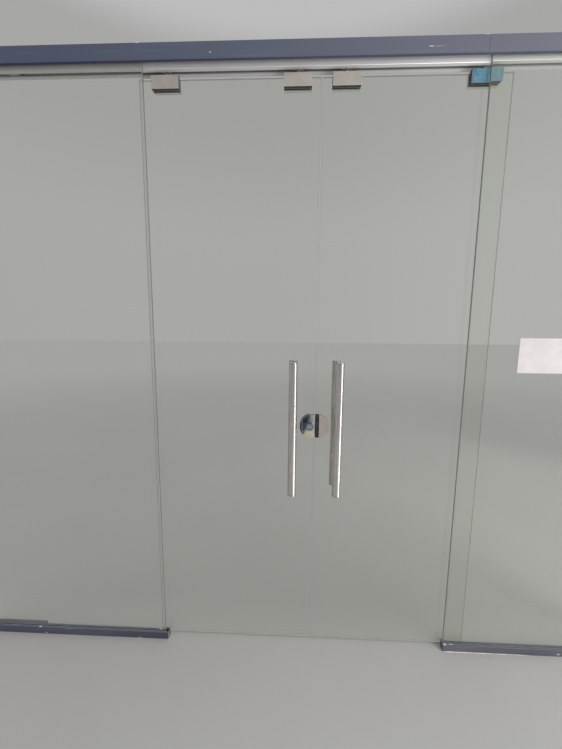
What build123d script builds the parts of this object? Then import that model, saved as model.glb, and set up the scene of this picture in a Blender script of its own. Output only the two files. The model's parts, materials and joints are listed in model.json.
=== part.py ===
from build123d import *
import os

# Frameless glass entrance door: two hung sliding leaves between two fixed panes.
# Millimetres. X runs along the door, Y goes into the room, Z is up.
# X = 0 is the middle of the frame, Y = 0 the middle of the sliding glass, Z = 0 the floor.

# Frame and the way through it
frame_width = 3200.0
opening_width = 1360.0
pair_offset = 38.0
hand_gap = 22.0
strip_gap = 19.0

# Sliding leaves
leaf_overlap = 60.0
leaf_height = 2522.0
leaf_thickness = 12.0
leaf_gap = 6.0
leaf_floor_gap = 8.0
glass_arris = 1.0

# Fixed panes
pane_thickness = 12.0
pane_floor_gap = 8.0
pane_top_gap = 4.0
pane_wall_gap = 8.0

# Clamps that hang each leaf
clamp_width = 112.0
clamp_height = 50.0
clamp_plate = 12.0
clamp_pad = 2.0
clamp_rise = 8.0
clamp_inset_outer = 110.0
clamp_inset_inner = 94.0
clamp_edge = 0.8
bridge_gap = 0.5
running_gap = 4.0

# Carriages in the track and their hanger bolts
hanger_radius = 5.0
carriage_length = 44.0
carriage_side_gap = 2.0
carriage_height = 24.0
carriage_lift = 3.0
carriage_corner = 6.0
wheel_radius = 16.0
wheel_lift = 0.3
wheel_side_gap = 2.0
wheel_lip_gap = 0.8
axle_radius = 3.0
turning_clearance = 0.05

# Aluminium track
track_height = 44.0
track_wall = 3.0
track_web = 4.0
track_slot = 16.0
track_lip_height = 2.0
track_lip_thickness = 1.2
track_corner = 1.0
track_tape = 1.0
clamp_to_track = 18.0
stop_length = 40.0
stop_height = 26.0
stop_play = 1.0
buffer_length = 8.0
buffer_height = 10.0

# Header: box tube in a folded cover
tube_depth = 100.0
tube_height = 40.0
tube_wall = 3.0
tube_corner = 3.5
cover_sheet = 1.2
cover_bend = 2.5
cover_drop = 22.0
cover_back_drop = 10.0
cover_seam = 0.8
seam_inset = 16.0
leg_tape = 0.8
tape_height = 12.0

# Floor and wall channels
channel_depth = 30.0
channel_height = 35.0
channel_sheet = 1.5
channel_corner = 1.0
glass_seal = 1.5
seal_height = 12.0
left_channel_overrun = 15.0
right_channel_overrun = 2.0
wall_notch_gap = 0.5
block_length = 100.0
block_width = 24.0
block_spacing = 450.0
floor_hole_radius = 3.5
floor_hole_spacing = 600.0

# Floor strip behind the left channel
strip_depth = 15.0
strip_height = 35.0

# Floor guides
guide_length = 20.0
guide_height = 16.0
guide_base_height = 4.0
guide_clearance = 1.0
guide_lead = 3.0
guide_setback = 20.0

# Pull handles
pull_length = 600.0
pull_radius = 19.0
pull_standoff = 36.0
pull_height = 1089.0
pull_inset = 97.0
post_spacing = 450.0
post_radius = 11.0
pull_hole_radius = 7.0

# Lock at the meeting edges
lock_height = 1095.0
lock_width = 133.0
lock_radius = 53.0
lock_depth = 15.0
lock_band = 20.0
cylinder_setback = 22.0
cylinder_radius = 15.0
cylinder_proud = 1.5
cylinder_fit = 0.3
spindle_radius = 6.5
plug_proud = 0.5
key_slot_width = 2.2
key_slot_height = 8.0
key_slot_depth = 6.0
spindle_square = 7.0
thumb_grip_length = 26.0
thumb_grip_width = 9.0
thumb_grip_height = 14.0
thumb_grip_edge = 1.5
thumb_gap = 0.3
hook_thickness = 6.0
hook_hub_radius = 9.0
hook_reach = 38.0
hook_nose_width = 7.5
hook_nose_rise = 11.0
hook_arm_top = 4.0
hook_arm_bottom = 5.0
hook_side_gap = 0.3
hook_sweep_gap = 1.5
strike_side_gap = 1.2
case_wall = 2.5
case_window = 15.0
case_overhang = 1.5
notch_clearance = 1.0
keeper_plate = 3.0
keeper_setback = 0.5
keeper_top_gap = 2.0
strike_reach = 11.0
strike_inset = 1.5

# Paper label and protective film
label_width = 210.0
label_height = 148.0
label_thickness = 0.2
label_edge_distance = 213.0
label_bottom = 1354.0
film_thickness = 0.25
film_margin = 1.0
film_shift = 4.0

# Heights worked out from the floor up
leaf_bottom = leaf_floor_gap
leaf_top = leaf_bottom + leaf_height
bridge_bottom = leaf_top + bridge_gap
clamp_top = leaf_top + clamp_rise
clamp_bottom = clamp_top - clamp_height
track_bottom = clamp_top + clamp_to_track
track_top = track_bottom + track_height
ledge_top = track_bottom + track_wall
tube_top = track_top + tube_height
cover_top = tube_top + cover_sheet
cover_bottom = track_top - cover_drop
pane_bottom = pane_floor_gap
pane_top = track_top - pane_top_gap
wheel_z = ledge_top + wheel_lift + wheel_radius
stop_bottom = ledge_top + track_lip_height
carriage_bottom = ledge_top + carriage_lift

# Depths worked out from the middle of the sliding glass
leaf_half = leaf_thickness / 2
clamp_inner = leaf_half + clamp_pad
clamp_face = clamp_inner + clamp_plate
pane_back = -(clamp_face + running_gap)
pane_front = pane_back - pane_thickness
pane_mid = (pane_front + pane_back) / 2
track_half = -pane_back - track_tape
track_inner = track_half - track_wall
wheel_near = track_slot / 2 + track_lip_thickness + wheel_lip_gap
wheel_far = track_inner - wheel_side_gap
carriage_half = wheel_near - carriage_side_gap
cover_inner = pane_front - leg_tape
tube_mid = cover_inner + tube_depth / 2
channel_front = pane_mid - channel_depth / 2
channel_back = pane_mid + channel_depth / 2
pull_axis = leaf_half + pull_standoff + pull_radius
lock_face = leaf_half + lock_depth

# Places along the door
frame_half = frame_width / 2
opening_half = opening_width / 2
leaf_width = opening_half + leaf_overlap
pane_edge = frame_half - pane_wall_gap
open_reach = opening_half - post_radius - hand_gap + leaf_width - pull_inset
stop_face = open_reach - clamp_inset_outer + carriage_length / 2 + stop_play
strip_end = open_reach + strip_gap
pane_length_mid = (opening_half + pane_edge) / 2

# Lock outline: two round-ended halves, the left one reaching to the meeting line
left_half_x = pair_offset - lock_width / 2 + lock_radius
right_half_x = pair_offset + lock_width / 2 - lock_radius
lock_x = pair_offset - cylinder_setback
strike_flat = pair_offset + lock_band
left_glass_edge = pair_offset - leaf_gap / 2
right_glass_edge = pair_offset + leaf_gap / 2
sweep_radius = Vector(hook_reach, hook_nose_rise).length + hook_sweep_gap
hook_half = hook_thickness / 2
hook_cavity = hook_half + hook_side_gap
case_left = lock_x - hook_hub_radius - hook_sweep_gap - case_wall
case_right = left_glass_edge + case_overhang
case_bottom = lock_height - sweep_radius - case_wall
case_top = lock_height + hook_nose_rise + hook_sweep_gap + case_wall
keeper_face = right_glass_edge + keeper_setback
keeper_inner = keeper_face + keeper_plate
core_right = lock_x + sweep_radius + case_wall
strike_cavity = hook_half + strike_side_gap
slot_top = lock_height + hook_arm_top + keeper_top_gap

os.makedirs("parts", exist_ok=True)


def save(builder, node):
    """Label the finished piece and write it under its node's name."""
    builder.part.label = node
    export_step(builder.part, f"parts/{node}.step")


def facing(y):
    """Upright plane at depth y. Sketch x is X, sketch y is Z, and an extrusion comes forward."""
    return Plane.XZ.offset(-y)


def across(x):
    """Section plane at x. Sketch x is Y, sketch y is Z, and an extrusion runs to the right."""
    return Plane.YZ.offset(x)


def level(z):
    """Level plane at height z. An extrusion goes up."""
    return Plane.XY.offset(z)


def middle(span):
    return (span[0] + span[1]) / 2


def block(xs, ys, zs, mode=Mode.ADD):
    """Plain box between two faces each way, in the part that is being made."""
    with Locations((middle(xs), middle(ys), middle(zs))):
        Box(abs(xs[1] - xs[0]), abs(ys[1] - ys[0]), abs(zs[1] - zs[0]), mode=mode)


def leaf_edges(side):
    """Inner and outer edge of the leaf on one side, where side is -1 at left and 1 at right."""
    inner = pair_offset + side * leaf_gap / 2
    return inner, inner + side * leaf_width


def clamp_places(side):
    """Middle of the outer and the inner clamp of one leaf."""
    inner, outer = leaf_edges(side)
    return {"outer": outer - side * clamp_inset_outer, "inner": inner + side * clamp_inset_inner}


def pull_place(side):
    return leaf_edges(side)[0] + side * pull_inset


sides = {"left": -1, "right": 1}

# Header tube
with BuildPart() as header_tube:
    with BuildSketch(across(-frame_half)) as tube_section:
        with Locations((tube_mid, track_top + tube_height / 2)):
            Rectangle(tube_depth, tube_height)
            chamfer(tube_section.vertices(), tube_corner)
            Rectangle(tube_depth - 2 * tube_wall, tube_height - 2 * tube_wall, mode=Mode.SUBTRACT)
    extrude(amount=frame_width)
save(header_tube, "header_tube")

# Folded cover over the tube, in two lengths that meet near the right pane's edge
cover_outer_depth = tube_depth + 2 * cover_sheet
cover_height = cover_top - cover_bottom
seam_x = opening_half - seam_inset
cover_lengths = [
    (-frame_half, seam_x - cover_seam / 2),
    (seam_x + cover_seam / 2, frame_half),
]
with BuildPart() as header_cover:
    for start, end in cover_lengths:
        with BuildSketch(across(start)) as cover_section:
            with Locations((tube_mid, cover_top)):
                Rectangle(cover_outer_depth, cover_height, align=(Align.CENTER, Align.MAX))
            with Locations((tube_mid, tube_top)):
                Rectangle(
                    tube_depth,
                    cover_height,
                    align=(Align.CENTER, Align.MAX),
                    mode=Mode.SUBTRACT,
                )
            by_height = cover_section.vertices().group_by(Axis.Y)
            fillet(by_height[-1], cover_bend)
            fillet(by_height[-2], cover_bend - cover_sheet)
            with Locations((tube_mid + tube_depth / 2, track_top - cover_back_drop)):
                Rectangle(tube_depth, cover_height, align=(Align.CENTER, Align.MAX), mode=Mode.SUBTRACT)
        extrude(amount=end - start)
save(header_cover, "header_cover")

# Track: extruded channel with a slot below, two running ledges and a lip beside the slot
with BuildPart() as track:
    with BuildSketch(across(-frame_half)) as track_section:
        with Locations((0, middle((track_bottom, track_top)))):
            Rectangle(2 * track_half, track_height)
        chamfer(track_section.vertices(), track_corner)
        with Locations((0, middle((ledge_top, track_top - track_web)))):
            Rectangle(2 * track_inner, track_height - track_wall - track_web, mode=Mode.SUBTRACT)
        with Locations((0, ledge_top)):
            Rectangle(
                track_slot + 2 * track_lip_thickness,
                track_lip_height,
                align=(Align.CENTER, Align.MIN),
            )
        with Locations((0, track_bottom)):
            Rectangle(
                track_slot,
                2 * (track_wall + track_lip_height),
                mode=Mode.SUBTRACT,
            )
    extrude(amount=frame_width)
save(track, "track")

# End stops clamped across the track above its lips
with BuildPart() as track_stops:
    for side in sides.values():
        near = side * (stop_face + buffer_length)
        far = near + side * stop_length
        block((near, far), (-track_inner, track_inner), (stop_bottom, stop_bottom + stop_height))
save(track_stops, "track_stops")

# Rubber buffers across the stops, level with the axles
with BuildPart() as stop_buffers:
    for side in sides.values():
        near = side * stop_face
        block(
            (near, near + side * buffer_length),
            (-wheel_far, wheel_far),
            (wheel_z - buffer_height / 2, wheel_z + buffer_height / 2),
        )
save(stop_buffers, "stop_buffers")


def fixed_pane(side):
    """Pane between the wall channel and the way through, arrised all round."""
    with BuildPart() as pane:
        block(
            (side * opening_half, side * pane_edge),
            (pane_front, pane_back),
            (pane_bottom, pane_top),
        )
        chamfer(pane.edges(), glass_arris)
    return pane


def lipped_channel(plane, length):
    """Folded channel along the plane's normal, its web at the plane's origin and open at the glass."""
    inner_depth = channel_depth - 2 * channel_sheet
    inner_height = channel_height - 2 * channel_sheet
    with BuildPart() as channel:
        with BuildSketch(plane) as channel_section:
            with Locations((0, channel_height / 2)):
                Rectangle(channel_depth, channel_height)
                chamfer(channel_section.vertices(), channel_corner)
                Rectangle(inner_depth, inner_height, mode=Mode.SUBTRACT)
            with Locations((0, channel_height)):
                Rectangle(pane_thickness + 2 * glass_seal, 3 * channel_sheet, mode=Mode.SUBTRACT)
        extrude(amount=length)
    return channel


def floor_channel(side, overrun):
    """Channel under one pane, closed by an end plate beside the way through."""
    inner_end = side * (opening_half - overrun)
    outer_end = side * frame_half
    start = min(inner_end, outer_end)
    web = Plane(origin=(start, pane_mid, 0), x_dir=(0, 1, 0), z_dir=(1, 0, 0))
    with BuildPart() as channel:
        add(lipped_channel(web, abs(outer_end - inner_end)).part)
        block(
            (inner_end, inner_end + side * channel_sheet),
            (channel_front, channel_back),
            (0, channel_height),
        )
        for hole in (-1, 1):
            with Locations((side * pane_length_mid + hole * floor_hole_spacing / 2, pane_mid, 0)):
                Cylinder(floor_hole_radius, 4 * channel_sheet, mode=Mode.SUBTRACT)
    return channel


def wall_channel(side):
    """Channel up the wall, notched at the top where it passes the front of the track."""
    web = Plane(
        origin=(side * frame_half, pane_mid, channel_height), x_dir=(0, side, 0), z_dir=(0, 0, 1)
    )
    with BuildPart() as channel:
        add(lipped_channel(web, cover_bottom - channel_height).part)
        block(
            (side * (frame_half - 2 * channel_height), side * 2 * frame_half),
            (-track_half - wall_notch_gap, channel_back + channel_sheet),
            (track_bottom, cover_top),
            mode=Mode.SUBTRACT,
        )
    return channel


for name, side in sides.items():
    save(fixed_pane(side), f"fixed_pane_{name}")
    save(wall_channel(side), f"wall_channel_{name}")
save(floor_channel(sides["left"], left_channel_overrun), "floor_channel_left")
save(floor_channel(sides["right"], right_channel_overrun), "floor_channel_right")

# Hard blocks that carry the panes inside the floor channels
with BuildPart() as setting_blocks:
    for side in sides.values():
        for end in (-1, 1):
            block_mid = side * pane_length_mid + end * block_spacing / 2
            block(
                (block_mid - block_length / 2, block_mid + block_length / 2),
                (pane_mid - block_width / 2, pane_mid + block_width / 2),
                (channel_sheet, pane_bottom),
            )
save(setting_blocks, "setting_blocks")

# Seals on both faces of each pane: in the floor channel, the wall channel and the header's groove
with BuildPart() as glazing_seals:
    for side in sides.values():
        wall_lip = side * (frame_half - channel_height)
        for near, far in (
            (pane_front - glass_seal, pane_front),
            (pane_back, pane_back + glass_seal),
        ):
            block(
                (side * opening_half, wall_lip),
                (near, far),
                (channel_height - seal_height, channel_height),
            )
            block(
                (wall_lip, wall_lip + side * seal_height),
                (near, far),
                (channel_height + channel_sheet, track_bottom),
            )
        for near, far in ((cover_inner, pane_front), (pane_back, -track_half)):
            block(
                (side * opening_half, side * pane_edge), (near, far), (pane_top - tape_height, pane_top)
            )
save(glazing_seals, "glazing_seals")


def floor_guide(side):
    """Moulded block that keeps the leaf's lower edge in line, just behind the fixed pane's edge."""
    guide_x = side * (opening_half + guide_setback)
    jaw = abs(channel_back)
    with BuildPart() as guide:
        with BuildSketch(across(guide_x - guide_length / 2)) as jaws:
            with Locations((0, guide_height / 2)):
                Rectangle(2 * jaw, guide_height)
            with Locations((0, guide_base_height)):
                Rectangle(
                    leaf_thickness + 2 * guide_clearance,
                    guide_height,
                    align=(Align.CENTER, Align.MIN),
                    mode=Mode.SUBTRACT,
                )
            chamfer(jaws.vertices().group_by(Axis.Y)[-1], guide_lead)
        extrude(amount=guide_length)
    return guide


for name, side in sides.items():
    save(floor_guide(side), f"floor_guide_{name}")

# Folded strip on the floor behind the left channel, just past the open leaf
with BuildPart() as floor_strip:
    with BuildSketch(across(-frame_half)) as strip_section:
        with Locations((channel_back + strip_depth / 2, strip_height / 2)):
            Rectangle(strip_depth, strip_height)
            chamfer(strip_section.vertices(), channel_corner)
            Rectangle(
                strip_depth - 2 * channel_sheet, strip_height - 2 * channel_sheet, mode=Mode.SUBTRACT
            )
    extrude(amount=frame_half - strip_end)
    block(
        (-strip_end - channel_sheet, -strip_end),
        (channel_back, channel_back + strip_depth),
        (0, strip_height),
    )
save(floor_strip, "floor_strip")

# Plain paper on the front of the right pane
with BuildPart() as paper_label:
    block(
        (opening_half + label_edge_distance, opening_half + label_edge_distance + label_width),
        (pane_front - label_thickness, pane_front),
        (label_bottom, label_bottom + label_height),
    )
save(paper_label, "paper_label")


def leaf_glass(side):
    """Toughened leaf with two holes for its handles and a notch for the lock."""
    inner, outer = leaf_edges(side)
    with BuildPart() as glass:
        block((inner, outer), (-leaf_half, leaf_half), (leaf_bottom, leaf_top))
        chamfer(glass.edges(), glass_arris)
        with BuildSketch(facing(leaf_half)):
            with Locations((pull_place(side), pull_height)):
                with GridLocations(0, post_spacing, 1, 2):
                    Circle(pull_hole_radius)
        extrude(amount=leaf_thickness, mode=Mode.SUBTRACT)
        deep_end = case_left - notch_clearance if side < 0 else core_right + notch_clearance
        block(
            (deep_end, pair_offset),
            (-leaf_half, leaf_half),
            (case_bottom - notch_clearance, case_top + notch_clearance),
            mode=Mode.SUBTRACT,
        )
    return glass


def clamp_shoes(side):
    """Two extruded shoes that grip the top of one leaf, each hung on its carriage's bolt."""
    with BuildPart() as shoes:
        for clamp_x in clamp_places(side).values():
            with BuildSketch(across(clamp_x - clamp_width / 2)) as shoe_section:
                with Locations((0, middle((clamp_bottom, clamp_top)))):
                    Rectangle(2 * clamp_face, clamp_height)
                chamfer(shoe_section.vertices(), clamp_edge)
                with Locations((0, bridge_bottom)):
                    Rectangle(
                        2 * clamp_inner,
                        2 * clamp_height,
                        align=(Align.CENTER, Align.MAX),
                        mode=Mode.SUBTRACT,
                    )
            extrude(amount=clamp_width)
    return shoes


def glass_pads(side):
    """Rubber pads between each shoe and the two faces of the glass."""
    with BuildPart() as pads:
        for clamp_x in clamp_places(side).values():
            for face in (-1, 1):
                block(
                    (clamp_x - clamp_width / 2, clamp_x + clamp_width / 2),
                    (face * leaf_half, face * clamp_inner),
                    (clamp_bottom, leaf_top),
                )
    return pads


def carriages(side):
    """Carriages: a block with bevelled ends, bored for the axle, on the bolt that carries the shoe."""
    with BuildPart() as bodies:
        for clamp_x in clamp_places(side).values():
            with BuildSketch(facing(carriage_half)) as carriage_side:
                with Locations((clamp_x, carriage_bottom + carriage_height / 2)):
                    Rectangle(carriage_length, carriage_height)
                chamfer(carriage_side.vertices().group_by(Axis.Y)[-1], carriage_corner)
                with Locations((clamp_x, wheel_z)):
                    Circle(axle_radius + turning_clearance, mode=Mode.SUBTRACT)
            extrude(amount=2 * carriage_half)
            with BuildSketch(level(clamp_top)):
                with Locations((clamp_x, 0)):
                    Circle(hanger_radius)
            extrude(amount=carriage_bottom - clamp_top)
    return bodies


def wheel_set(x):
    """Two wheels pressed on one axle that turns in the carriage, half in profile and revolved."""
    with BuildPart() as wheels:
        with BuildSketch(across(x)):
            with BuildLine():
                Polyline(
                    (-wheel_far, wheel_z),
                    (-wheel_far, wheel_z + wheel_radius),
                    (-wheel_near, wheel_z + wheel_radius),
                    (-wheel_near, wheel_z + axle_radius),
                    (wheel_near, wheel_z + axle_radius),
                    (wheel_near, wheel_z + wheel_radius),
                    (wheel_far, wheel_z + wheel_radius),
                    (wheel_far, wheel_z),
                    close=True,
                )
            make_face()
        revolve(axis=Axis((x, 0, wheel_z), (0, 1, 0)))
    return wheels


def pull(side, face):
    """Round bar on two posts that meet the glass over its holes, in front (-1) or behind (1)."""
    x = pull_place(side)
    with BuildPart() as handle:
        with BuildSketch(level(pull_height - pull_length / 2)):
            with Locations((x, face * pull_axis)):
                Circle(pull_radius)
        extrude(amount=pull_length)
        with BuildSketch(facing(face * leaf_half)):
            with Locations((x, pull_height)):
                with GridLocations(0, post_spacing, 1, 2):
                    Circle(post_radius)
        extrude(amount=-face * (pull_axis - leaf_half))
    return handle


for name, side in sides.items():
    save(leaf_glass(side), f"leaf_glass_{name}")
    save(clamp_shoes(side), f"clamp_shoes_{name}")
    save(glass_pads(side), f"glass_pads_{name}")
    save(carriages(side), f"carriages_{name}")
    for end, clamp_x in clamp_places(side).items():
        save(wheel_set(clamp_x), f"wheel_set_{name}_{end}")
    save(pull(side, -1), f"pull_{name}_front")
    save(pull(side, 1), f"pull_{name}_back")

# Protective film left on the right leaf's outer clamp, stuck on a little off centre
film_x = clamp_places(sides["right"])["outer"] + film_shift
with BuildPart() as clamp_film:
    block(
        (film_x - clamp_width / 2, film_x + clamp_width / 2),
        (-clamp_face - film_thickness, -clamp_face),
        (clamp_bottom + film_margin, clamp_top - film_margin),
    )
save(clamp_film, "clamp_film")


def lock_cover(centre_x, flat_x, side, face):
    """Cover over one half of the lock: a disc cut off at flat_x, on the front or the back."""
    with BuildPart() as cover:
        with BuildSketch(facing(face * leaf_half)):
            with Locations((centre_x, lock_height)):
                Circle(lock_radius)
            with Locations((flat_x, lock_height)):
                Rectangle(
                    lock_width,
                    3 * lock_radius,
                    align=(Align.MAX if side > 0 else Align.MIN, Align.CENTER),
                    mode=Mode.SUBTRACT,
                )
        extrude(amount=-face * lock_depth)
    return cover


# Covers of the left half, bored for the key cylinder in front and the thumbturn behind
for name, face, bore_radius in (
    ("lock_cover_front", -1, cylinder_radius + cylinder_fit),
    ("lock_cover_back", 1, spindle_radius + turning_clearance),
):
    with BuildPart() as cover_with_bore:
        add(lock_cover(left_half_x, pair_offset, -1, face).part)
        with Locations((lock_x, face * middle((leaf_half, lock_face)), lock_height)):
            Cylinder(bore_radius, 2 * lock_depth, rotation=(90, 0, 0), mode=Mode.SUBTRACT)
    save(cover_with_bore, name)

# Lock case in the left leaf's notch: hollow for the hook, with windows for the spindle and a slot
# in its face plate where the hook comes out
plate_inner = case_right - case_wall
exit_bottom = lock_height - (sweep_radius**2 - (plate_inner - lock_x) ** 2) ** 0.5
with BuildPart() as lock_case:
    block((case_left, case_right), (-leaf_half, leaf_half), (case_bottom, case_top))
    block(
        (case_left + case_wall, plate_inner),
        (-hook_cavity, hook_cavity),
        (case_bottom + case_wall, case_top - case_wall),
        mode=Mode.SUBTRACT,
    )
    block(
        (plate_inner, case_right),
        (-hook_cavity, hook_cavity),
        (exit_bottom, slot_top),
        mode=Mode.SUBTRACT,
    )
    with Locations((lock_x, 0, lock_height)):
        Box(case_window, 2 * leaf_thickness, case_window, mode=Mode.SUBTRACT)
save(lock_case, "lock_case")

with BuildPart() as lock_cylinder:
    with BuildSketch(facing(-leaf_half)):
        with Locations((lock_x, lock_height)):
            Circle(cylinder_radius)
            Circle(spindle_radius + turning_clearance, mode=Mode.SUBTRACT)
    extrude(amount=lock_depth + cylinder_proud)
save(lock_cylinder, "lock_cylinder")

# Turning pieces: key plug in front, thumbturn behind and the hook between them on the square
plug_face = lock_face + cylinder_proud + plug_proud
with BuildPart() as lock_plug:
    with BuildSketch(facing(-hook_half)):
        with Locations((lock_x, lock_height)):
            Circle(spindle_radius)
    extrude(amount=plug_face - hook_half)
    with BuildSketch(facing(hook_half)):
        with Locations((lock_x, lock_height)):
            Rectangle(spindle_square, spindle_square)
    extrude(amount=hook_thickness)
    with BuildSketch(facing(key_slot_depth - plug_face)):
        with Locations((lock_x, lock_height)):
            Rectangle(key_slot_width, key_slot_height)
    extrude(amount=key_slot_depth, mode=Mode.SUBTRACT)
save(lock_plug, "lock_plug")

grip_front = lock_face + thumb_gap
with BuildPart() as thumbturn:
    with BuildSketch(facing(grip_front)):
        with Locations((lock_x, lock_height)):
            Circle(spindle_radius)
    extrude(amount=grip_front - hook_half)
    with BuildSketch(facing(grip_front + thumb_grip_height)):
        with Locations((lock_x, lock_height)):
            Rectangle(thumb_grip_width, thumb_grip_length)
    extrude(amount=thumb_grip_height)
    chamfer(thumbturn.faces().sort_by(Axis.Y)[-1].edges(), thumb_grip_edge)
save(thumbturn, "thumbturn")

# Hook as it hangs unlocked: its reach points down and its nose towards the meeting edge
hook_outline = [
    (0, -hook_arm_bottom),
    (hook_reach, -hook_arm_bottom),
    (hook_reach, hook_nose_rise),
    (hook_reach - hook_nose_width, hook_nose_rise),
    (hook_reach - hook_nose_width, hook_arm_top),
    (0, hook_arm_top),
]
with BuildPart() as hook_bolt:
    with BuildSketch(facing(hook_half)):
        with BuildLine():
            Polyline(
                *[(lock_x + rise, lock_height - reach) for reach, rise in hook_outline], close=True
            )
        make_face()
        with Locations((lock_x, lock_height)):
            Circle(hook_hub_radius)
            Rectangle(spindle_square, spindle_square, mode=Mode.SUBTRACT)
    extrude(amount=hook_thickness)
save(hook_bolt, "hook_bolt")

save(lock_cover(right_half_x, strike_flat, 1, -1), "strike_cover_front")
save(lock_cover(right_half_x, strike_flat, 1, 1), "strike_cover_back")

# Dark plates on both faces of the right leaf, filling the circle between the meeting line and covers
with BuildPart() as strike_bands:
    for face in (-1, 1):
        with BuildSketch(facing(face * leaf_half)):
            with Locations((right_half_x, lock_height)):
                Circle(lock_radius - strike_inset)
            with Locations((middle((keeper_face, strike_flat)), lock_height)):
                Rectangle(strike_flat - keeper_face, 3 * lock_radius, mode=Mode.INTERSECT)
        extrude(amount=-face * strike_reach)
save(strike_bands, "strike_bands")

# Strike case in the right leaf's notch: a keeper plate with the hook's slot, and a box behind it
keeper_reach = keeper_face - lock_x
slot_bottom = lock_height - (sweep_radius**2 - keeper_reach**2) ** 0.5
with BuildPart() as strike_case:
    block((keeper_face, core_right), (-leaf_half, leaf_half), (case_bottom, case_top))
    block(
        (keeper_inner, core_right - case_wall),
        (-strike_cavity, strike_cavity),
        (case_bottom + case_wall, case_top - case_wall),
        mode=Mode.SUBTRACT,
    )
    block(
        (keeper_face, keeper_inner),
        (-strike_cavity, strike_cavity),
        (slot_bottom, slot_top),
        mode=Mode.SUBTRACT,
    )
save(strike_case, "strike_case")
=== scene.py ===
"""Looks of the sliding glass door: finishes, small pieces, studio light and camera.

Lengths are metres in the CAD's frame: X to the right, Y away from the camera and Z up from the floor.
The CAD's own pieces stay as they are and only get their finishes here.
"""
import json
import math

import bpy
from mathutils import Matrix, Vector

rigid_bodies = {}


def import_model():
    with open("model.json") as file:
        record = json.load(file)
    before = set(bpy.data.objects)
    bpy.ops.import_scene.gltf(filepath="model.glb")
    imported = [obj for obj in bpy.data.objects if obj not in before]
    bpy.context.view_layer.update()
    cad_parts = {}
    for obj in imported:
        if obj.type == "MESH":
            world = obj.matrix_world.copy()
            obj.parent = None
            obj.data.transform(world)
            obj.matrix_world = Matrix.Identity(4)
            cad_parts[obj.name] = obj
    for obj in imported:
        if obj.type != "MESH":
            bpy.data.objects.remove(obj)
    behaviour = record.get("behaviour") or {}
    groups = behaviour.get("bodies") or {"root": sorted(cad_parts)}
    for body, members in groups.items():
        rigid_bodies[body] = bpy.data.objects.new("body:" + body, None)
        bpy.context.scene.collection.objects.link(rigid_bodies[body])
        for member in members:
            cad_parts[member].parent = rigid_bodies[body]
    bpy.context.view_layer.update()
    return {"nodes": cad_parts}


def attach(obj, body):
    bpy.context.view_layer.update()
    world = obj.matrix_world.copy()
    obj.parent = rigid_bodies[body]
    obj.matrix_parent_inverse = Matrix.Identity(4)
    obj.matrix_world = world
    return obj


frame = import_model()
nodes = frame["nodes"]
scene = bpy.context.scene
scene.view_settings.view_transform = "Standard"

# Numbers of the axes
X, Y, Z = 0, 1, 2

# Sockets of Blender's mix node that hold its two colours and their blend
mix_a, mix_b, mix_out = 6, 7, 2

# Places in the CAD that the finishes and the small pieces go by
half_width = 1.6
cover_front, cover_foot, cover_top = -0.038, 2.5782, 2.641
cover_ends = {"left": (-half_width, 0.6636), "right": (0.6644, half_width)}
channel_front = -0.045
clamp_x = {"left": (-0.595, -0.059), "right": (0.135, 0.671)}
clamp_back, clamp_z = 0.020, 2.507
pull_x = {"left": -0.062, "right": 0.138}
post_z = (0.864, 1.314)
bar_y = {"front": -0.061, "back": 0.061}
bar_foot, bar_middle, bar_top = 0.789, 1.089, 1.389
lock_front, lock_back, lock_z = -0.0209, 0.021, 1.095


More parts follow.
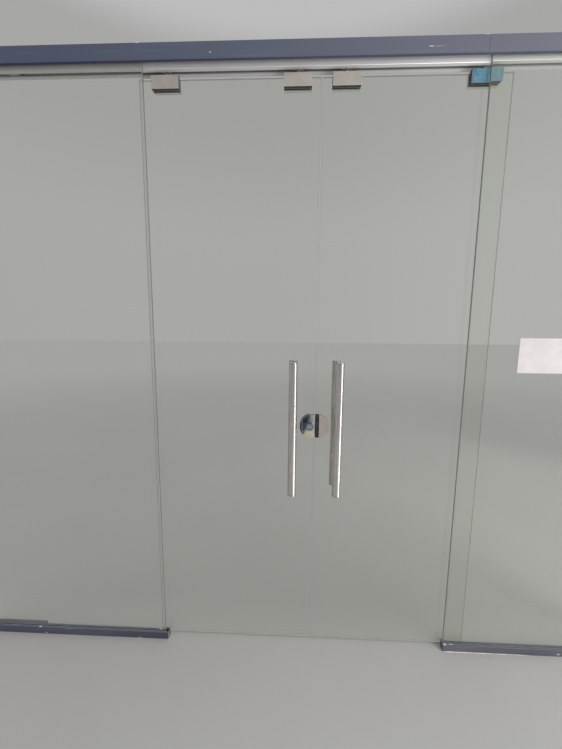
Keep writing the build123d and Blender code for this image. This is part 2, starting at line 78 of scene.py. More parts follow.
class Graph:
    """Node tree of one material, with short calls for the nodes that it uses."""

    def __init__(self, name):
        self.material = bpy.data.materials.new(name)
        self.material.use_nodes = True
        self.tree = self.material.node_tree
        self.tree.nodes.clear()
        self.place = self.node("ShaderNodeTexCoord").outputs["Object"]
        self.parts = None

    def node(self, kind, **settings):
        made = self.tree.nodes.new(kind)
        for key, value in settings.items():
            setattr(made, key, value)
        return made

    def feed(self, socket, value):
        """Link a socket, or set a plain number or colour."""
        if isinstance(value, bpy.types.NodeSocket):
            self.tree.links.new(value, socket)
        elif isinstance(value, (tuple, list)) and socket.type == "RGBA":
            socket.default_value = (*value[:3], 1.0)
        else:
            socket.default_value = value

    def math(self, operation, a, b=0.0):
        made = self.node("ShaderNodeMath", operation=operation)
        self.feed(made.inputs[0], a)
        self.feed(made.inputs[1], b)
        return made.outputs[0]

    def times(self, *factors):
        whole = factors[0]
        for factor in factors[1:]:
            whole = self.math("MULTIPLY", whole, factor)
        return whole

    def most(self, *masks):
        """The largest of several masks."""
        whole = masks[0]
        for mask in masks[1:]:
            whole = self.math("MAXIMUM", whole, mask)
        return whole

    def rest(self, mask):
        """What a mask leaves over."""
        return self.math("SUBTRACT", 1.0, mask)

    def off_middle(self, value):
        """How far a value lies above 0.5, the middle of a noise."""
        return self.math("SUBTRACT", value, 0.5)

    def vector(self, operation, a, b=None):
        made = self.node("ShaderNodeVectorMath", operation=operation)
        self.feed(made.inputs[0], a)
        if b is not None:
            self.feed(made.inputs[1], b)
        return made.outputs["Value" if operation == "LENGTH" else "Vector"]

    def apart(self, vector):
        """The X, Y and Z of a vector."""
        made = self.node("ShaderNodeSeparateXYZ")
        self.feed(made.inputs[0], vector)
        return made.outputs

    def along(self, axis):
        """One coordinate of the place in the model."""
        if self.parts is None:
            self.parts = self.apart(self.place)
        return self.parts[axis]

    def span(self, value, low, high, to_low=0.0, to_high=1.0):
        """Smooth step of a value from low to high."""
        made = self.node("ShaderNodeMapRange", interpolation_type="SMOOTHSTEP")
        for socket, given in zip(made.inputs[:5], (value, low, high, to_low, to_high)):
            self.feed(socket, given)
        return made.outputs[0]

    def mix(self, share, a, b):
        """Colour a where the share is 0, and b where it is 1."""
        made = self.node("ShaderNodeMix", data_type="RGBA")
        self.feed(made.inputs[0], share)
        self.feed(made.inputs[mix_a], a)
        self.feed(made.inputs[mix_b], b)
        return made.outputs[mix_out]

    def noise(self, size, stretch=(1, 1, 1), detail=3.0, shift=(0, 0, 0), warp=0.0):
        """Noise with cells of about size metres, drawn out along an axis by a small stretch."""
        placed = self.node("ShaderNodeMapping")
        self.feed(placed.inputs["Vector"], self.place)
        placed.inputs["Scale"].default_value = stretch
        placed.inputs["Location"].default_value = shift
        made = self.node("ShaderNodeTexNoise")
        self.feed(made.inputs["Vector"], placed.outputs[0])
        made.inputs["Scale"].default_value = 1.0 / size
        made.inputs["Detail"].default_value = detail
        made.inputs["Roughness"].default_value = 0.55
        made.inputs["Distortion"].default_value = warp
        return made.outputs["Fac"]

    def blob(self, centre, half, soft=0.5, ragged=0.0):
        """1 inside an ellipsoid of these half sizes about centre, falling to 0 at its edge."""
        offset = self.vector("SUBTRACT", self.place, centre)
        reach = self.vector("LENGTH", self.vector("DIVIDE", offset, half))
        if ragged:
            edge = self.noise(0.6 * min(half), detail=4.0)
            reach = self.math("ADD", reach, self.times(edge, ragged))
        return self.span(reach, 1.0 + 0.5 * ragged, 1.0 - soft + 0.5 * ragged)

    def bump(self, height, depth):
        made = self.node("ShaderNodeBump")
        self.feed(made.inputs["Height"], height)
        made.inputs["Distance"].default_value = depth
        return made.outputs[0]

    def shade(self, colour, roughness, metallic=0.0, normal=None, **plain):
        """Principled surface. plain holds sockets that are the same all over."""
        surface = self.node("ShaderNodeBsdfPrincipled")
        self.feed(surface.inputs["Base Color"], colour)
        self.feed(surface.inputs["Roughness"], roughness)
        self.feed(surface.inputs["Metallic"], metallic)
        if normal is not None:
            self.feed(surface.inputs["Normal"], normal)
        for key, value in plain.items():
            self.feed(surface.inputs[key.replace("_", " ")], value)
        return self.finish(surface.outputs[0])

    def finish(self, shader):
        out = self.node("ShaderNodeOutputMaterial")
        self.feed(out.inputs["Surface"], shader)
        return self.material


def toned(tint, factor):
    """A tint made darker or lighter by a factor, and never brighter than white."""
    return tuple(min(1.0, part * factor) for part in tint)


def brushed(name, tint, roughness, axis, grain=0.00035, spread=0.16, metallic=1.0, lift=0.0):
    """Brushed or satin metal whose fine lines run along one axis, with slow changes of tone.
    lift is the share of white mixed in towards the right end: painted light that brightens it there."""
    g = Graph(name)
    line_stretch, wide_stretch = [1.0, 1.0, 1.0], [1.0, 1.0, 1.0]
    line_stretch[axis] = 0.012
    wide_stretch[axis] = 0.0036
    lines = g.noise(grain, line_stretch, detail=2.0)
    wide = g.noise(0.004, wide_stretch, detail=2.0)
    cloud = g.noise(0.11, detail=3.0)
    tone = g.math("ADD", g.times(lines, 0.5), g.times(wide, 0.5))
    dark, light = toned(tint, 1.0 - spread), toned(tint, 1.0 + 0.5 * spread)
    colour = g.mix(g.span(tone, 0.3, 0.7), dark, light)
    colour = g.mix(g.span(cloud, 0.35, 0.7, 0.0, 0.3), colour, toned(tint, 0.86))
    # painted light: the tone is lifted towards white at the right end
    colour = g.mix(g.span(g.along(X), -0.1, 0.8, 0.0, lift), colour, (1.0, 1.0, 1.0))
    rough = g.math("ADD", roughness, g.times(g.off_middle(lines), 0.16))
    return g.shade(colour, rough, metallic, g.bump(lines, 0.00002))


def moulded(name, tint, roughness, spread=0.1):
    """Moulded plastic or rubber: a fine grain and a little unevenness of tone."""
    g = Graph(name)
    grain = g.noise(0.0016, detail=2.0)
    cloud = g.noise(0.035, detail=3.0)
    dark, light = toned(tint, 1.0 - spread), toned(tint, 1.0 + spread)
    colour = g.mix(g.span(cloud, 0.3, 0.7), dark, light)
    rough = g.math("ADD", roughness, g.times(g.off_middle(grain), 0.1))
    return g.shade(colour, rough, 0.0, g.bump(grain, 0.00004))


def clamp_metal():
    """Pale satin extrusion with fine lines along it. Painted shade darkens the ends and underside of the
    front plate, painted light makes those of the back plate pale, and the outer right clamp's face is
    tinted round its film, with painted shade on the film's rolled edge."""
    g = Graph("clamp_metal")
    lines = g.noise(0.0004, (0.012, 1, 1), detail=2.0)
    cloud = g.noise(0.05, detail=3.0)
    normal = g.apart(g.node("ShaderNodeNewGeometry").outputs["Normal"])
    ends = g.span(g.math("ABSOLUTE", normal[X]), 0.75, 0.9)
    cut = g.most(ends, g.span(normal[Z], -0.75, -0.9))
    # painted shade on the front plate's ends and underside, painted light on the back plate's
    front_painted_shade = g.times(cut, g.span(g.along(Y), -0.007, -0.009))
    back_painted_light = g.times(cut, g.span(g.along(Y), 0.007, 0.009))
    # the film's rolled edge round the outer right clamp, darkened by painted shade
    outer_right = g.span(g.along(X), 0.600, 0.605)
    face = g.span(g.along(Y), -0.0150, -0.0155)
    film_edge_shade = g.times(outer_right, face, g.rest(front_painted_shade))
    colour = g.mix(g.span(cloud, 0.35, 0.7), (0.50, 0.465, 0.43), (0.58, 0.53, 0.49))
    colour = g.mix(g.span(lines, 0.3, 0.7, 0.0, 0.12), colour, (0.40, 0.37, 0.34))
    colour = g.mix(back_painted_light, colour, (0.66, 0.66, 0.63))
    colour = g.mix(front_painted_shade, colour, (0.030, 0.031, 0.033))
    colour = g.mix(film_edge_shade, colour, (0.095, 0.155, 0.175))
    rough = g.span(lines, 0.2, 0.8, 0.34, 0.44)
    metallic = g.times(g.rest(g.most(front_painted_shade, film_edge_shade)), 0.45)
    return g.shade(colour, rough, metallic, g.bump(lines, 0.00002))


def float_glass():
    """Clear float glass: nearly colourless through its faces, green at its ground edges, greyer at its
    foot by painted shade and a little dusty low down. Seen from inside, its edges are a flat grey of
    painted shade in place of their bright internal reflections. Its shadow is a plain thin veil."""
    g = Graph("float_glass")
    shape = g.node("ShaderNodeNewGeometry")
    facing = g.math("ABSOLUTE", g.apart(shape.outputs["Normal"])[Y])
    rim = g.span(facing, 0.35, 0.2)
    # seen from inside the glass, its edges get a flat grey of painted shade in place of their internal
    # reflections
    inside = g.times(rim, shape.outputs["Backfacing"])
    edge = g.math("SUBTRACT", rim, inside)
    arris = g.times(g.span(facing, 0.5, 0.6), g.span(facing, 0.9, 0.8))
    # painted shade on the edges at the glass's foot
    foot = g.times(g.span(g.along(Z), 0.014, 0.010), g.most(rim, arris))
    haze = g.noise(0.35, (1, 1, 0.5), detail=4.0)
    dust = g.times(g.span(g.along(Z), 0.16, 0.0), g.span(haze, 0.35, 0.65))
    colour = g.mix(edge, (0.922, 0.933, 0.901), (0.46, 0.52, 0.47))
    colour = g.mix(inside, colour, (0.62, 0.66, 0.62))
    colour = g.mix(arris, colour, (0.60, 0.70, 0.67))
    colour = g.mix(foot, colour, (0.34, 0.37, 0.34))
    rough = g.most(g.times(edge, 0.12), g.times(arris, 0.3))
    rough = g.math("ADD", rough, g.times(dust, 0.05))
    dull = g.most(g.times(edge, 0.75), g.times(inside, 0.4), g.times(arris, 0.5))
    solid = g.node("ShaderNodeBsdfPrincipled")
    g.feed(solid.inputs["Base Color"], colour)
    g.feed(solid.inputs["Roughness"], rough)
    g.feed(solid.inputs["Transmission Weight"], g.rest(dull))
    g.feed(solid.inputs["IOR"], 1.5)
    veil = g.node("ShaderNodeBsdfTransparent")
    g.feed(veil.inputs["Color"], (0.85, 0.87, 0.85))
    split = g.node("ShaderNodeMixShader")
    g.feed(split.inputs[0], g.node("ShaderNodeLightPath").outputs["Is Shadow Ray"])
    g.feed(split.inputs[1], solid.outputs[0])
    g.feed(split.inputs[2], veil.outputs[0])
    return g.finish(split.outputs[0])


def slate_cover():
    """Satin slate paint of the header, lighter to the right by painted light, with chips and a scrape.
    """
    g = Graph("slate_cover")
    cloud = g.noise(0.5, (0.5, 1, 1), detail=4.0)
    fine = g.noise(0.0011, detail=2.0)
    wiped = g.noise(0.02, (0.04, 1, 1), detail=3.0)
    # painted light: the paint is lighter towards the right
    colour = g.mix(g.span(g.along(X), -1.1, 1.0), (0.100, 0.124, 0.200), (0.172, 0.186, 0.236))
    colour = g.mix(g.span(cloud, 0.35, 0.7, 0.0, 0.3), colour, (0.122, 0.145, 0.198))
    colour = g.mix(g.span(wiped, 0.5, 0.75, 0.0, 0.2), colour, (0.25, 0.27, 0.31))
    scrape_z = 2.6035
    chips = g.most(
        g.blob((-0.405, cover_front, 2.601), (0.006, 0.01, 0.0022), ragged=0.5),
        g.blob((0.447, cover_front, scrape_z), (0.012, 0.01, 0.0022), ragged=0.4),
        g.blob((-0.694, cover_front, cover_top), (0.010, 0.02, 0.0035), ragged=0.7),
        g.blob((0.655, cover_front, cover_top), (0.018, 0.02, 0.003), ragged=0.8),
    )
    scrape = g.blob((0.475, cover_front, scrape_z), (0.042, 0.01, 0.0018), soft=0.9)
    colour = g.mix(g.times(scrape, 0.55), colour, (0.62, 0.64, 0.68))
    colour = g.mix(chips, colour, (0.78, 0.79, 0.80))
    return g.shade(colour, g.span(cloud, 0.3, 0.7, 0.36, 0.5), 0.0, g.bump(fine, 0.00003))


def shade_lip_paint():
    """Dark blue of the strip below the header's cover, which paints the shade line under the cover's
    edge, with painted light that makes it lighter to the right.
    """
    g = Graph("shade_lip_paint")
    cloud = g.noise(0.2, (0.3, 1, 1), detail=3.0)
    # painted light: lighter towards the right
    colour = g.mix(g.span(g.along(X), -1.1, 1.0), (0.026, 0.031, 0.068), (0.078, 0.083, 0.135))
    colour = g.mix(g.span(cloud, 0.35, 0.7, 0.0, 0.3), colour, (0.045, 0.047, 0.095))
    return g.shade(colour, 0.5)


def channel_paint():
    """Slate paint of the floor and wall channels: greyer to the right and lighter along the tops of its
    lips, both painted light, lighter at its foot and along a rubbed line on its front, and chipped to
    white."""
    g = Graph("channel_paint")
    cloud = g.noise(0.16, (0.35, 1, 1), detail=4.0)
    rub = g.noise(0.006, (0.05, 1, 1), detail=3.0)
    fine = g.noise(0.0012, detail=2.0)
    left = g.mix(g.span(cloud, 0.3, 0.7), (0.060, 0.066, 0.112), (0.105, 0.115, 0.165))
    right = g.mix(g.span(cloud, 0.3, 0.7), (0.100, 0.105, 0.135), (0.150, 0.155, 0.185))
    # painted light: greyer and lighter towards the right
    colour = g.mix(g.span(g.along(X), -0.7, 0.7), left, right)
    # painted light on the tops of the lips
    lip = g.span(g.along(Z), 0.0322, 0.0345)
    foot = g.span(g.along(Z), 0.0075, 0.0025)
    line = g.blob((0, channel_front, 0.021), (9.0, 0.01, 0.0035), soft=1.0)
    rubbed = g.times(line, g.span(rub, 0.4, 0.6), 0.45)
    worn = g.times(g.span(rub, 0.62, 0.74), g.span(cloud, 0.5, 0.62), 0.5)
    colour = g.mix(g.times(lip, 0.9), colour, (0.125, 0.135, 0.160))
    colour = g.mix(rubbed, colour, (0.16, 0.165, 0.21))
    colour = g.mix(g.times(foot, 0.5), colour, (0.11, 0.11, 0.12))
    colour = g.mix(worn, colour, (0.36, 0.36, 0.40))
    chips = g.most(
        g.blob((-1.318, -0.041, 0.034), (0.012, 0.005, 0.0022), ragged=0.9),
        g.blob((-1.286, channel_front, 0.006), (0.007, 0.006, 0.0030), ragged=0.8),
        g.blob((-0.806, channel_front, 0.002), (0.009, 0.006, 0.0030), ragged=0.7),
        g.blob((-0.706, -0.022, 0.035), (0.012, 0.007, 0.004), ragged=0.8),
        g.blob((-0.6655, -0.035, 0.020), (0.004, 0.0025, 0.020), soft=0.6, ragged=0.7),
        g.blob((0.686, -0.041, 0.035), (0.010, 0.006, 0.004), ragged=0.8),
        g.blob((0.716, -0.038, 0.035), (0.014, 0.004, 0.004), ragged=0.8),
        g.blob((1.216, channel_front, 0.012), (0.010, 0.006, 0.003), ragged=0.8),
    )
    colour = g.mix(chips, colour, (0.76, 0.77, 0.78))
    return g.shade(colour, g.span(cloud, 0.3, 0.7, 0.38, 0.55), 0.0, g.bump(fine, 0.00004))


def paper_sheet():
    """Off-white paper with a fine fibre, in slow waves."""
    g = Graph("paper_sheet")
    fibre = g.noise(0.0009, detail=3.0)
    wave = g.noise(0.09, detail=2.0)
    colour = g.mix(g.span(wave, 0.35, 0.65), (0.80, 0.755, 0.765), (0.87, 0.83, 0.84))
    colour = g.mix(g.span(fibre, 0.4, 0.8, 0.0, 0.12), colour, (0.70, 0.66, 0.66))
    height = g.math("ADD", g.times(wave, 6.0), g.times(fibre, 0.3))
    return g.shade(colour, 0.75, 0.0, g.bump(height, 0.0005))


def film_sheet():
    """Thin blue film, a little wrinkled, with pale lines where it has lifted, and paler at its right by
    a painted reflection of the fixed pane in front of it.
    """
    g = Graph("film_sheet")
    wave = g.noise(0.022, (1, 1, 0.35), detail=3.0, warp=0.6)
    crease = g.span(g.math("ABSOLUTE", g.off_middle(wave)), 0.02, 0.0)
    colour = g.mix(g.span(wave, 0.35, 0.68), (0.065, 0.222, 0.345), (0.130, 0.325, 0.435))
    colour = g.mix(g.times(crease, 0.5), colour, (0.34, 0.50, 0.58))
    # painted reflection: paler where the fixed pane lies in front of the film
    colour = g.mix(g.span(g.along(X), 0.670, 0.686, 0.0, 0.5), colour, (0.32, 0.57, 0.65))
    rough = g.span(wave, 0.3, 0.7, 0.16, 0.32)
    return g.shade(colour, rough, 0.0, g.bump(wave, 0.0006), Coat_Weight=0.4)


def pull_metal():
    """Polished bar with fine lines along it, a dark joint line near each end and finger marks."""
    g = Graph("pull_metal")
    lines = g.noise(0.0004, (1, 1, 0.01), detail=2.0)
    streak = g.noise(0.005, (1, 1, 0.03), detail=3.0)
    mark = g.noise(0.035, (1, 1, 0.6), detail=4.0)
    colour = g.mix(g.span(streak, 0.32, 0.7), (0.565, 0.53, 0.52), (0.755, 0.72, 0.705))
    colour = g.mix(g.span(mark, 0.52, 0.72, 0.0, 0.35), colour, (0.47, 0.445, 0.44))
    reach = g.math("ABSOLUTE", g.math("SUBTRACT", g.along(Z), bar_middle))
    joint = g.times(g.span(reach, 0.2958, 0.2964), g.span(reach, 0.2978, 0.2972), 0.8)
    colour = g.mix(joint, colour, (0.16, 0.15, 0.15))
    rough = g.math("ADD", g.span(mark, 0.35, 0.75, 0.16, 0.3), g.times(g.off_middle(lines), 0.1))
    return g.shade(colour, rough, 1.0, g.bump(lines, 0.00001))


def mirror_metal():
    """Mirror-polished cover with hairline scratches and a few dull smears. Painted reflections make it
    dark at its upper left and yellowish at its foot, and it is shaded as if its face were slightly domed
    about domed_at."""
    g = Graph("mirror_metal")
    domed_at = (0.0245, 0.0, lock_z)
    hair = g.noise(0.0016, (1, 1, 0.08), detail=4.0, warp=0.8)
    smear = g.noise(0.03, detail=4.0)
    colour = g.mix(g.span(smear, 0.4, 0.7), (0.70, 0.71, 0.735), (0.80, 0.80, 0.80))
    scratch = g.span(g.math("ABSOLUTE", g.off_middle(hair)), 0.008, 0.0)
    rough = g.math("ADD", g.span(smear, 0.45, 0.75, 0.03, 0.14), g.times(scratch, 0.12))
    # painted reflection: dark blue at the upper left, up to a slanting border
    slant = g.times(g.math("SUBTRACT", g.along(Z), lock_z), -0.25)
    border = g.math("ADD", g.along(X), slant)
    border = g.math("ADD", border, g.times(g.off_middle(smear), 0.02))
    dark = g.times(g.span(border, 0.012, -0.006), g.span(g.along(Z), 1.056, 1.066), 0.9)
    colour = g.mix(dark, colour, (0.055, 0.065, 0.125))
    # painted reflection: yellow-white at the foot
    foot_reflection = g.times(g.span(g.along(Z), 1.078, 1.064), g.span(g.along(X), -0.018, 0.0), 0.75)
    colour = g.mix(foot_reflection, colour, (1.0, 0.90, 0.66))
    lean = g.vector("MULTIPLY", g.vector("SUBTRACT", g.place, domed_at), (8.0, 0.0, 8.0))
    domed = g.vector("NORMALIZE", g.vector("ADD", lean, g.bump(smear, 0.0002)))
    return g.shade(colour, rough, 1.0, domed)


def dark_metal():
    """Dark painted metal with dust on it."""
    g = Graph("dark_metal")
    fine = g.noise(0.0012, detail=3.0)
    dust = g.noise(0.012, detail=4.0)
    colour = g.mix(g.span(dust, 0.45, 0.75), (0.022, 0.024, 0.030), (0.075, 0.076, 0.082))
    return g.shade(colour, g.span(fine, 0.3, 0.7, 0.45, 0.62), 0.0, g.bump(fine, 0.00006))


def silicone():
    """Pale sealant, dirty in places."""
    g = Graph("silicone")
    cloud = g.noise(0.02, (0.3, 1, 1), detail=4.0)
    dirt = g.noise(0.05, (0.4, 1, 1), detail=4.0, shift=(3.1, 0, 0))
    colour = g.mix(g.span(cloud, 0.35, 0.7), (0.70, 0.69, 0.67), (0.84, 0.83, 0.82))
    colour = g.mix(g.span(dirt, 0.55, 0.72, 0.0, 0.6), colour, (0.20, 0.19, 0.18))
    return g.shade(colour, 0.42, 0.0, g.bump(cloud, 0.0012))


finishes = {
    "glass": float_glass(),
    "cover": slate_cover(),
    # the lip is a dark strip of painted shade under the cover's edge
    "lip": shade_lip_paint(),
    "channel": channel_paint(),
    "tube": moulded("tube_primer", (0.17, 0.18, 0.19), 0.6, spread=0.2),
    # the track's lift is painted light that makes it lighter towards its right end
    "track": brushed(
        "track_metal", (0.66, 0.645, 0.655), 0.42, X, metallic=0.35, spread=0.1, lift=0.35
    ),
    "stop": brushed("stop_metal", (0.50, 0.51, 0.52), 0.42, Y),
    "rubber": moulded("buffer_rubber", (0.022, 0.022, 0.024), 0.68),
    "seal": moulded("seal_rubber", (0.34, 0.36, 0.41), 0.5, spread=0.15),
    "pad": moulded("pad_rubber", (0.30, 0.31, 0.30), 0.6),
    "block": moulded("block_plastic", (0.035, 0.037, 0.04), 0.5),
    "guide": moulded("guide_plastic", (0.42, 0.43, 0.43), 0.45),
    "strip": brushed("strip_metal", (0.125, 0.138, 0.165), 0.5, X, metallic=0.0, spread=0.2),
    "paper": paper_sheet(),
    "film": film_sheet(),
    "clamp": clamp_metal(),
    "carriage": brushed("carriage_metal", (0.56, 0.57, 0.58), 0.4, X),
    "wheel": moulded("wheel_nylon", (0.70, 0.70, 0.66), 0.35),
    "pull": pull_metal(),
    "mirror": mirror_metal(),
    "satin": brushed("strike_metal", (0.80, 0.725, 0.655), 0.36, Z, metallic=0.8, spread=0.08),
    "dark": dark_metal(),
    "cylinder": brushed("cylinder_metal", (0.40, 0.44, 0.56), 0.2, Z, spread=0.25),
    # the collar's dark blue is a painted reflection
    "collar": brushed("collar_reflection_metal", (0.14, 0.17, 0.30), 0.22, Z, spread=0.25),
    "plug": brushed("plug_metal", (0.80, 0.74, 0.60), 0.28, Z),
    "hook": brushed("hook_metal", (0.52, 0.52, 0.53), 0.35, Z),
    "screw": brushed("screw_metal", (0.60, 0.60, 0.61), 0.3, X, grain=0.0002),
    "sleeve": moulded("sleeve_nylon", (0.72, 0.73, 0.72), 0.4),
    "silicone": silicone(),
}

worn_by = {
    "glass": ("fixed_pane_left", "fixed_pane_right", "leaf_glass_left", "leaf_glass_right"),
    "cover": ("header_cover",),
    "channel": (
        "floor_channel_left", "floor_channel_right", "wall_channel_left", "wall_channel_right",
    ),
    "tube": ("header_tube",),
    "track": ("track",),
    "stop": ("track_stops",),
    "rubber": ("stop_buffers",),
    "pad": ("glass_pads_left", "glass_pads_right"),
    "seal": ("glazing_seals",),
    "block": ("setting_blocks",),
    "guide": ("floor_guide_left", "floor_guide_right"),
    "strip": ("floor_strip",),
    "paper": ("paper_label",),
    "film": ("clamp_film",),
    "clamp": ("clamp_shoes_left", "clamp_shoes_right"),
    "carriage": ("carriages_left", "carriages_right"),
    "wheel": (
        "wheel_set_left_outer", "wheel_set_left_inner",
        "wheel_set_right_outer", "wheel_set_right_inner",
    ),
    "pull": ("pull_left_front", "pull_left_back", "pull_right_front", "pull_right_back"),
    "mirror": ("lock_cover_front", "lock_cover_back", "thumbturn"),
    "satin": ("strike_cover_front", "strike_cover_back"),
    "dark": ("lock_case", "strike_case", "strike_bands"),
    "cylinder": ("lock_cylinder",),
    "plug": ("lock_plug",),
    "hook": ("hook_bolt",),
}
for finish, wearers in worn_by.items():
    for node in wearers:
        nodes[node].data.materials.clear()
        nodes[node].data.materials.append(finishes[finish])


def piece(name, points, faces, finish, body, smooth=30.0):
    """Mesh piece in model metres, shaded smooth up to an angle in degrees, that rides on a body."""
    mesh = bpy.data.meshes.new(name)
    mesh.from_pydata([tuple(p) for p in points], [], faces)
    mesh.materials.append(finishes[finish])
    mesh.update()
    mesh.shade_smooth()
    mesh.set_sharp_from_angle(angle=math.radians(smooth))
    made = bpy.data.objects.new(name, mesh)
    scene.collection.objects.link(made)
    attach(made, body)


def turned(name, centre, axis, profile, finish, body, around=40, smooth=30.0):
    """Turned piece: profile is (radius, height along the axis) from one end to the other, in mm."""
    axis = Vector(axis)
    side = axis.orthogonal().normalized()
    other = axis.cross(side)
    points, faces = [], []
    for radius, height in profile:
        for k in range(around):
            a = 2 * math.pi * k / around
            offset = side * math.cos(a) + other * math.sin(a)
            points.append(Vector(centre) + (offset * radius + axis * height) * 0.001)
    for row in range(len(profile) - 1):
        for k in range(around):
            n = (k + 1) % around
            a, b = row * around, (row + 1) * around
            faces.append((a + k, a + n, b + n, b + k))
    last = (len(profile) - 1) * around
    faces.append(tuple(reversed(range(around))))
    faces.append(tuple(range(last, last + around)))
    piece(name, points, faces, finish, body, smooth)


# Studs and their sleeves through the glass, between the posts of the front and back pulls
sleeve_profile = [(5.2, -5.9), (6.9, -5.9), (6.9, 5.9), (5.2, 5.9)]
stud_profile = [(5.0, -6.0), (5.0, 6.0)]
for side, x in pull_x.items():
    for number, z in enumerate(post_z):
        turned(
            f"stud_sleeve_{side}_{number}", (x, 0, z), (0, 1, 0), sleeve_profile,
            "sleeve", f"{side}_leaf",
        )
        turned(
            f"pull_stud_{side}_{number}", (x, 0, z), (0, 1, 0), stud_profile,
            "screw", f"{side}_leaf",
        )

# Caps on the ends of the pulls
cap_profile = [(18.8, 0.0), (18.8, 0.5), (18.3, 1.1), (17.0, 1.5), (9.0, 1.9), (0.4, 2.0)]
for side, x in pull_x.items():
    for face, y in bar_y.items():
        for end, z, way in (("top", bar_top, 1), ("foot", bar_foot, -1)):
            turned(
                f"pull_cap_{side}_{face}_{end}", (x, y, z), (0, 0, way), cap_profile,
                "pull", f"{side}_leaf", around=48, smooth=50.0,
            )

# Screws that close the clamps and the lock, on the side away from the camera
clamp_screw_profile = [(4.6, 0.0), (4.6, 0.7), (3.9, 1.3), (2.2, 1.5), (2.2, 0.3), (0.2, 0.3)]
clamp_screw_steps = (-0.032, 0.032)
for side, places in clamp_x.items():
    for number, x in enumerate(places):
        for k, step in enumerate(clamp_screw_steps):
            turned(
                f"clamp_screw_{side}_{number}_{k}", (x + step, clamp_back, clamp_z), (0, 1, 0),
                clamp_screw_profile, "screw", f"{side}_leaf", around=36,
            )
lock_screw_profile = [(2.6, 0.0), (2.6, 0.3), (2.2, 0.6), (1.2, 0.7), (1.2, 0.1), (0.1, 0.1)]
lock_screw_x = {"left": -0.010, "right": 0.076}
lock_screw_z = (1.062, 1.128)
for side, x in lock_screw_x.items():
    for k, z in enumerate(lock_screw_z):
        turned(
            f"lock_screw_{side}_{k}", (x, lock_back, z), (0, 1, 0), lock_screw_profile,
            "screw", f"{side}_leaf", around=30,
        )

# Collar round the key cylinder, on the lock's front cover. Its dark blue is a painted reflection
collar_profile = [(18.4, 0.0), (18.4, 0.5), (17.8, 0.9), (16.4, 1.1), (15.4, 1.0), (15.4, 0.0)]
cylinder_x = 0.016
turned(
    "lock_collar", (cylinder_x, lock_front, lock_z), (0, -1, 0), collar_profile,
    "collar", "left_leaf", around=48,
)

# Dark strip below the two lengths of the header's cover, flush with its face: painted shade for the dark
# line under the cover's edge
lip_back, lip_front_foot, lip_back_foot = -0.0368, 2.5710, 2.5708
lip_section = (
    (cover_front, cover_foot), (cover_front, lip_front_foot),
    (lip_back, lip_back_foot), (lip_back, cover_foot),
)
lip_faces = [(0, 1, 2, 3), (7, 6, 5, 4), (0, 4, 5, 1), (1, 5, 6, 2), (2, 6, 7, 3), (3, 7, 4, 0)]
for side, ends in cover_ends.items():
    lip_points = [(x, y, z) for x in ends for y, z in lip_section]
    piece(f"cover_shade_lip_{side}", lip_points, lip_faces, "lip", "frame")

# Sealant bead on the floor along the front of the right channel, dragged thin at its far end
bead_start, bead_length, bead_back, bead_foot = 0.6795, 0.42, -0.0449, 0.0002
bead_rows, bead_across = 90, 6
bead_points, bead_faces = [], []
for row in range(bead_rows):
    t = row / (bead_rows - 1)
    width = 0.0034 + 0.0006 * math.sin(31 * t) + 0.0004 * math.sin(83 * t + 1.0)
    width *= min(1.0, 12 * t + 0.25) * min(1.0, 6 * (1 - t) + 0.05) * (1.0 - 0.5 * t)
    for k in range(bead_across):
        a = 0.5 * math.pi * k / (bead_across - 1)
        y = bead_back - width * (1 - math.sin(a)) * 0.9
        z = bead_foot + width * (1 - math.cos(a)) * 0.8
        bead_points.append((bead_start + t * bead_length, y, z))
for row in range(bead_rows - 1):
    a, b = row * bead_across, (row + 1) * bead_across
    for k in range(bead_across - 1):
        bead_faces.append((a + k, a + k + 1, b + k + 1, b + k))
piece("sealant_bead", bead_points, bead_faces, "silicone", "frame", smooth=60.0)

# Floor: one plain sheet, lighter far away to meet the backdrop's tone, and darker behind the door by
# painted shade
floor_reach, floor_z = 60.0, -0.0005
ground = Graph("studio_floor")
tone = ground.noise(1.4, detail=4.0)
far_away = ground.span(ground.vector("LENGTH", ground.place), 3.0, 14.0)
# painted shade on the floor beyond the door
painted_shade_behind = ground.span(ground.along(Y), -0.02, 0.25, 0.0, 0.11)
ground_colour = ground.mix(ground.span(tone, 0.3, 0.7), (0.490, 0.485, 0.474), (0.515, 0.510, 0.499))
ground_colour = ground.mix(far_away, ground_colour, (0.62, 0.62, 0.61))
ground_colour = ground.mix(painted_shade_behind, ground_colour, (0.0, 0.0, 0.0))
ground.shade(ground_colour, 0.6, 0.0, ground.bump(tone, 0.0005))
corners = ((-1, -1), (1, -1), (1, 1), (-1, 1))
floor_points = [(x * floor_reach, y * floor_reach, floor_z) for x, y in corners]
floor_mesh = bpy.data.meshes.new("studio_floor")
floor_mesh.from_pydata(floor_points, [], [(0, 1, 2, 3)])
floor_mesh.materials.append(ground.material)
floor = bpy.data.objects.new("studio_floor", floor_mesh)
scene.collection.objects.link(floor)

# Backdrop all round: grey beyond the door, dark to pale from left to right on the camera's side, and
# brightest overhead
world = bpy.data.worlds.new("studio")
world.use_nodes = True
tree = world.node_tree
tree.nodes.clear()
way = tree.nodes.new("ShaderNodeTexCoord")
parts = tree.nodes.new("ShaderNodeSeparateXYZ")
tree.links.new(way.outputs["Generated"], parts.inputs[0])


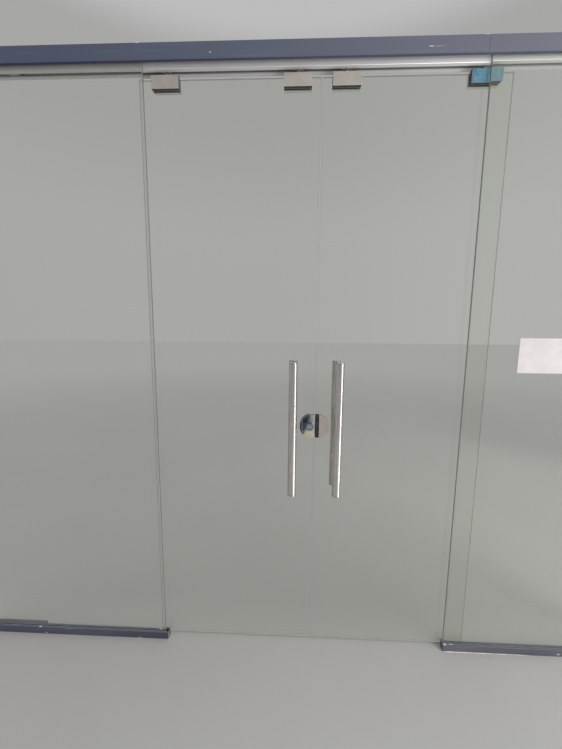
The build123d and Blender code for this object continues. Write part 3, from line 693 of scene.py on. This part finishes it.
def backdrop(axis, low, high, under, over):
    """Blend from one colour socket or value to another along an axis of the view direction."""
    span = tree.nodes.new("ShaderNodeMapRange")
    span.interpolation_type = "SMOOTHSTEP"
    tree.links.new(parts.outputs[axis], span.inputs[0])
    span.inputs[1].default_value = low
    span.inputs[2].default_value = high
    mixer = tree.nodes.new("ShaderNodeMix")
    mixer.data_type = "RGBA"
    tree.links.new(span.outputs[0], mixer.inputs[0])
    for number, colour in ((mix_a, under), (mix_b, over)):
        if isinstance(colour, tuple):
            mixer.inputs[number].default_value = (*colour, 1.0)
        else:
            tree.links.new(colour, mixer.inputs[number])
    return mixer.outputs[mix_out]


far_low = backdrop(Z, 0.25, 0.58, (0.445, 0.445, 0.44), (0.385, 0.385, 0.38))
far_side = backdrop(Z, 0.60, 0.665, far_low, (0.505, 0.505, 0.503))
near_left = backdrop(Z, 0.0, 0.7, (0.15, 0.155, 0.165), (0.32, 0.32, 0.32))
near_side = backdrop(X, -0.1, 0.6, near_left, (0.70, 0.69, 0.68))
level = backdrop(Y, -0.45, 0.25, near_side, far_side)
whole = backdrop(Z, 0.72, 0.95, level, (1.25, 1.245, 1.23))
background = tree.nodes.new("ShaderNodeBackground")
world_out = tree.nodes.new("ShaderNodeOutputWorld")
tree.links.new(whole, background.inputs["Color"])
tree.links.new(background.outputs[0], world_out.inputs["Surface"])
scene.world = world


def lamp(name, place, aim, size, power, colour, lit):
    """Softbox that lights one list of objects and isn't seen itself."""
    data = bpy.data.lights.new(name, "AREA")
    data.shape = "RECTANGLE"
    data.size, data.size_y = size
    data.energy = power
    data.color = colour
    made = bpy.data.objects.new(name, data)
    made.location = place
    made.rotation_euler = (Vector(aim) - Vector(place)).to_track_quat("-Z", "Y").to_euler()
    scene.collection.objects.link(made)
    made.visible_camera = False
    made.visible_transmission = False
    group = bpy.data.collections.new(name)
    for target in lit:
        group.objects.link(target)
    made.light_linking.receiver_collection = group


def wearing(*worn):
    """The CAD's pieces that wear any of these finishes."""
    return [nodes[name] for finish in worn for name in worn_by[finish]]


polished = wearing("pull", "mirror", "satin", "cylinder", "plug")
polished += [made for made in scene.objects if made.name.startswith("pull_cap")]
left_out = polished + wearing("glass")
plain = [made for made in scene.objects if made.type == "MESH" and made not in left_out]
lamp(
    "side", place=(3.0, -2.3, 2.1), aim=(0.3, 0.0, 1.2), size=(1.6, 2.6),
    power=74.0, colour=(1.0, 0.985, 0.965), lit=plain,
)
lamp(
    "strip", place=(1.05, -0.56, 0.7), aim=(0.0, -0.06, 0.7), size=(0.22, 1.7),
    power=7.0, colour=(1.0, 0.97, 0.95), lit=polished,
)
lamp(
    "bounce", place=(1.6, -1.2, 0.4), aim=(0.4, 0.0, 2.56), size=(1.2, 1.2),
    power=45.0, colour=(1.0, 0.99, 0.985), lit=wearing("track", "clamp"),
)

# Camera at the photograph's place, with the photograph's field of view
camera_place = (-0.066, -1.393, 1.507)
yaw, pitch, roll = 0.0364, 0.1270, 0.0095
forward = Vector((-math.sin(yaw) * math.cos(pitch), math.cos(yaw) * math.cos(pitch), -math.sin(pitch)))
level_right = Vector((math.cos(yaw), math.sin(yaw), 0))
level_up = level_right.cross(forward)
right = level_right * math.cos(roll) + level_up * math.sin(roll)
up = level_up * math.cos(roll) - level_right * math.sin(roll)
camera_data = bpy.data.cameras.new("camera")
camera_data.lens = 14.961
camera_data.sensor_width = 36.0
camera_data.clip_start = 0.02
camera = bpy.data.objects.new("camera", camera_data)
scene.collection.objects.link(camera)
turn = Matrix((right, up, -forward)).transposed().to_4x4()
camera.matrix_world = Matrix.Translation(camera_place) @ turn
scene.camera = camera
